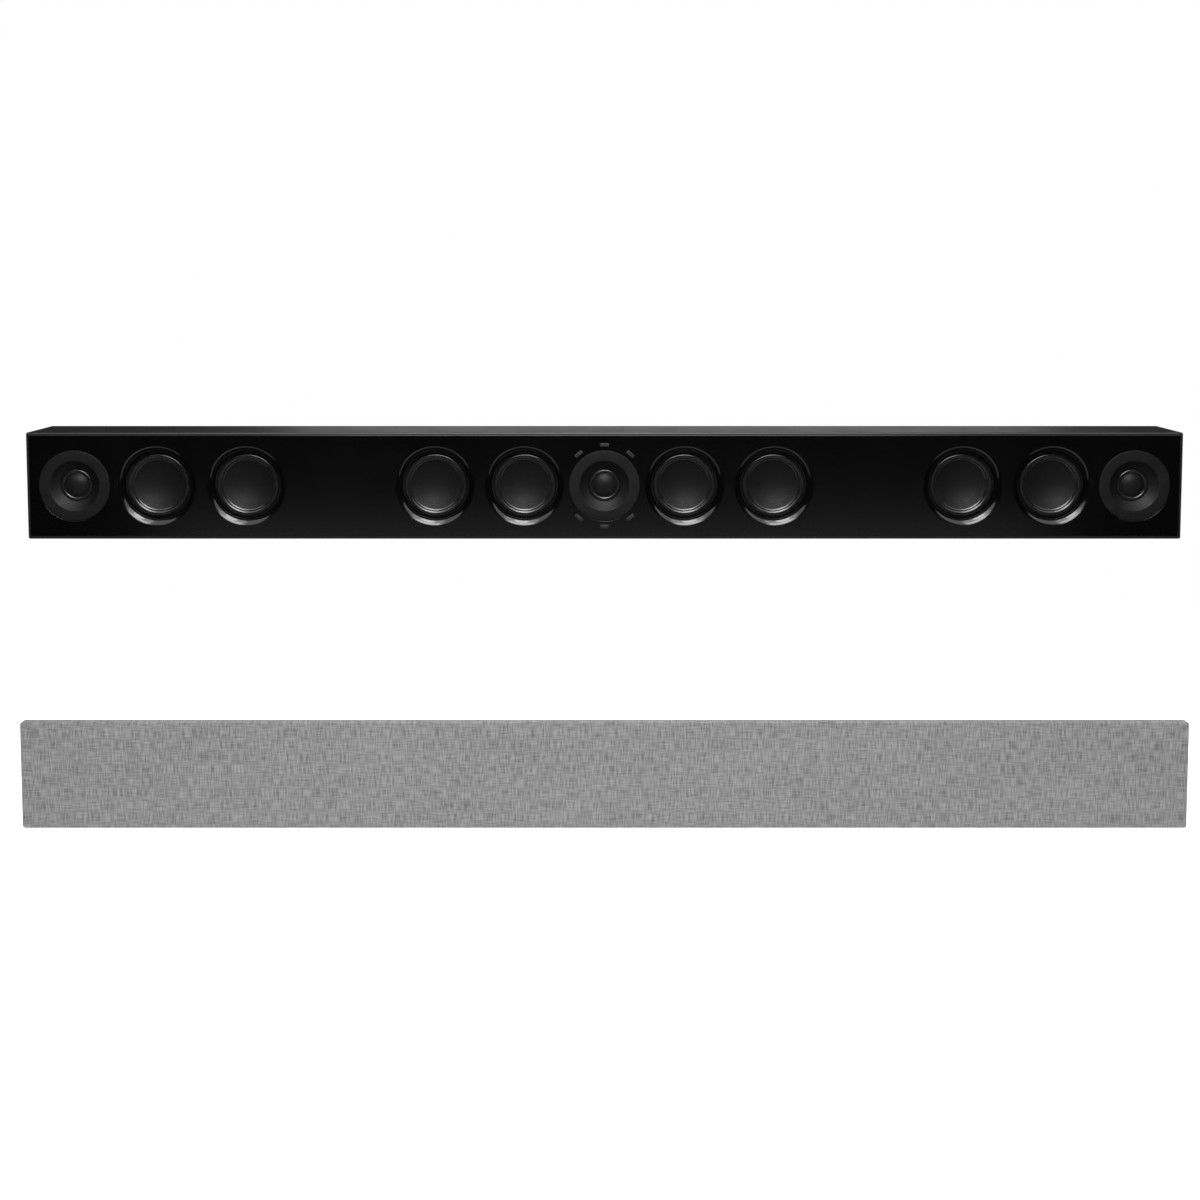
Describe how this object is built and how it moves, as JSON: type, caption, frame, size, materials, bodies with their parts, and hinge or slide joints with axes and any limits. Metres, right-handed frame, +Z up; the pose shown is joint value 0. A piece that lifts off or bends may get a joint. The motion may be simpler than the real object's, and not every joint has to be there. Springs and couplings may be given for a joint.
{
  "type": "soundbar",
  "caption": "Wall-mounted passive three-channel soundbar with a row of small woofers and dome tweeters, and its cloth grille shown off the bar.",
  "frame": {"origin": "centre of the wall bracket's hole pattern, on the back face, at mid length and mid height", "axes": "+X along the bar to the right as seen from the front, +Y out of the back face into the wall, +Z up"},
  "size_m": [1.23, 0.1283, 0.416],
  "materials": {
    "sleeve": "satin powder coat",
    "baffle": "black satin lacquer on board",
    "cone": "coated dished cone",
    "surround": "matte rubber",
    "spider": "impregnated cloth",
    "basket": "cast, painted black",
    "motor_steel": "zinc plated",
    "ferrite": "ferrite",
    "faceplate": "fine matte moulding",
    "dome": "coated cloth",
    "mark": "grey rubber",
    "screw": "black zinc",
    "magnet": "nickel plated",
    "divider": "plain board",
    "felt": "polyester felt",
    "cup": "moulded",
    "cap_red": "moulded",
    "cap_black": "moulded",
    "post": "plated",
    "spring": "spring steel",
    "gasket": "foam",
    "plate": "zinc plated",
    "pad": "matte",
    "board": "laminate",
    "standoff": "nylon",
    "choke": "enamelled copper winding",
    "can": "sleeved",
    "resistor": "cement",
    "wire": "insulation",
    "grille_frame": "moulded",
    "grille_cloth": "grey woven acoustic cloth"
  },
  "bodies": {
    "enclosure": {"enclosure_sleeve": "sleeve", "end_cap_left": "sleeve", "end_cap_right": "sleeve", "end_cap_screws": "screw", "dividers": "divider", "damping_felt": "felt", "front_baffle": "baffle", "baffle_magnets": "magnet", "centre_index_marks": "mark", "woofer_baskets": "basket", "woofer_surrounds": "surround", "woofer_spiders": "spider", "woofer_top_plates": "motor_steel", "woofer_magnets": "ferrite", "woofer_t_yokes": "motor_steel", "woofer_screws": "screw", "tweeter_left_faceplate": "faceplate", "tweeter_centre_faceplate": "faceplate", "tweeter_right_faceplate": "faceplate", "tweeter_surrounds": "surround", "tweeter_top_plates": "motor_steel", "tweeter_magnets": "ferrite", "tweeter_t_yokes": "motor_steel", "tweeter_screws": "screw", "terminal_cup": "cup", "terminal_posts": "post", "terminal_springs": "spring", "terminal_cup_screws": "screw", "terminal_gasket": "gasket", "keyhole_plates": "plate", "keyhole_plate_screws": "screw", "rear_pads": "pad", "bracket_inserts": "plate", "crossover_boards": "board", "board_standoffs": "standoff", "crossover_inductors": "choke", "crossover_capacitors": "can", "crossover_resistors": "resistor", "wiring_loom": "wire"},
    "woofer_1": {"woofer_1_cone": "cone"},
    "woofer_2": {"woofer_2_cone": "cone"},
    "woofer_3": {"woofer_3_cone": "cone"},
    "woofer_4": {"woofer_4_cone": "cone"},
    "woofer_5": {"woofer_5_cone": "cone"},
    "woofer_6": {"woofer_6_cone": "cone"},
    "woofer_7": {"woofer_7_cone": "cone"},
    "woofer_8": {"woofer_8_cone": "cone"},
    "tweeter_left": {"tweeter_left_dome": "dome"},
    "tweeter_centre": {"tweeter_centre_dome": "dome"},
    "tweeter_right": {"tweeter_right_dome": "dome"},
    "push_cap_1": {"terminal_cap_1": "cap_red"},
    "push_cap_2": {"terminal_cap_2": "cap_black"},
    "push_cap_3": {"terminal_cap_3": "cap_red"},
    "push_cap_4": {"terminal_cap_4": "cap_black"},
    "push_cap_5": {"terminal_cap_5": "cap_red"},
    "push_cap_6": {"terminal_cap_6": "cap_black"},
    "grille": {"grille_frame": "grille_frame", "grille_cloth": "grille_cloth", "grille_magnets": "magnet"}
  },
  "joints": [
    {"name": "woofer_1_travel", "type": "slide", "parent": "enclosure", "child": "woofer_1", "axis": [0, -1, 0], "range_m": [-0.0035, 0.0035], "stiffness_N_per_m": 1000, "deforming": ["woofer_surrounds", "woofer_spiders"]},
    {"name": "woofer_2_travel", "type": "slide", "parent": "enclosure", "child": "woofer_2", "axis": [0, -1, 0], "range_m": [-0.0035, 0.0035], "stiffness_N_per_m": 1000},
    {"name": "woofer_3_travel", "type": "slide", "parent": "enclosure", "child": "woofer_3", "axis": [0, -1, 0], "range_m": [-0.0035, 0.0035], "stiffness_N_per_m": 1000},
    {"name": "woofer_4_travel", "type": "slide", "parent": "enclosure", "child": "woofer_4", "axis": [0, -1, 0], "range_m": [-0.0035, 0.0035], "stiffness_N_per_m": 1000},
    {"name": "woofer_5_travel", "type": "slide", "parent": "enclosure", "child": "woofer_5", "axis": [0, -1, 0], "range_m": [-0.0035, 0.0035], "stiffness_N_per_m": 1000},
    {"name": "woofer_6_travel", "type": "slide", "parent": "enclosure", "child": "woofer_6", "axis": [0, -1, 0], "range_m": [-0.0035, 0.0035], "stiffness_N_per_m": 1000},
    {"name": "woofer_7_travel", "type": "slide", "parent": "enclosure", "child": "woofer_7", "axis": [0, -1, 0], "range_m": [-0.0035, 0.0035], "stiffness_N_per_m": 1000},
    {"name": "woofer_8_travel", "type": "slide", "parent": "enclosure", "child": "woofer_8", "axis": [0, -1, 0], "range_m": [-0.0035, 0.0035], "stiffness_N_per_m": 1000},
    {"name": "tweeter_left_travel", "type": "slide", "parent": "enclosure", "child": "tweeter_left", "axis": [0, -1, 0], "range_m": [-0.0004, 0.0004], "stiffness_N_per_m": 1000, "deforming": ["tweeter_surrounds"]},
    {"name": "tweeter_centre_travel", "type": "slide", "parent": "enclosure", "child": "tweeter_centre", "axis": [0, -1, 0], "range_m": [-0.0004, 0.0004], "stiffness_N_per_m": 1000},
    {"name": "tweeter_right_travel", "type": "slide", "parent": "enclosure", "child": "tweeter_right", "axis": [0, -1, 0], "range_m": [-0.0004, 0.0004], "stiffness_N_per_m": 1000},
    {"name": "terminal_cap_1_press", "type": "slide", "parent": "enclosure", "child": "push_cap_1", "axis": [0, -1, 0], "range_m": [0, 0.0045], "stiffness_N_per_m": 600, "springref_m": -0.001, "deforming": ["terminal_springs"]},
    {"name": "terminal_cap_2_press", "type": "slide", "parent": "enclosure", "child": "push_cap_2", "axis": [0, -1, 0], "range_m": [0, 0.0045], "stiffness_N_per_m": 600, "springref_m": -0.001},
    {"name": "terminal_cap_3_press", "type": "slide", "parent": "enclosure", "child": "push_cap_3", "axis": [0, -1, 0], "range_m": [0, 0.0045], "stiffness_N_per_m": 600, "springref_m": -0.001},
    {"name": "terminal_cap_4_press", "type": "slide", "parent": "enclosure", "child": "push_cap_4", "axis": [0, -1, 0], "range_m": [0, 0.0045], "stiffness_N_per_m": 600, "springref_m": -0.001},
    {"name": "terminal_cap_5_press", "type": "slide", "parent": "enclosure", "child": "push_cap_5", "axis": [0, -1, 0], "range_m": [0, 0.0045], "stiffness_N_per_m": 600, "springref_m": -0.001},
    {"name": "terminal_cap_6_press", "type": "slide", "parent": "enclosure", "child": "push_cap_6", "axis": [0, -1, 0], "range_m": [0, 0.0045], "stiffness_N_per_m": 600, "springref_m": -0.001},
    {"name": "grille_lift", "type": "slide", "parent": "enclosure", "child": "grille", "axis": [0, 0.0989, 0.9951], "range_m": [0, 0.30349]}
  ]
}
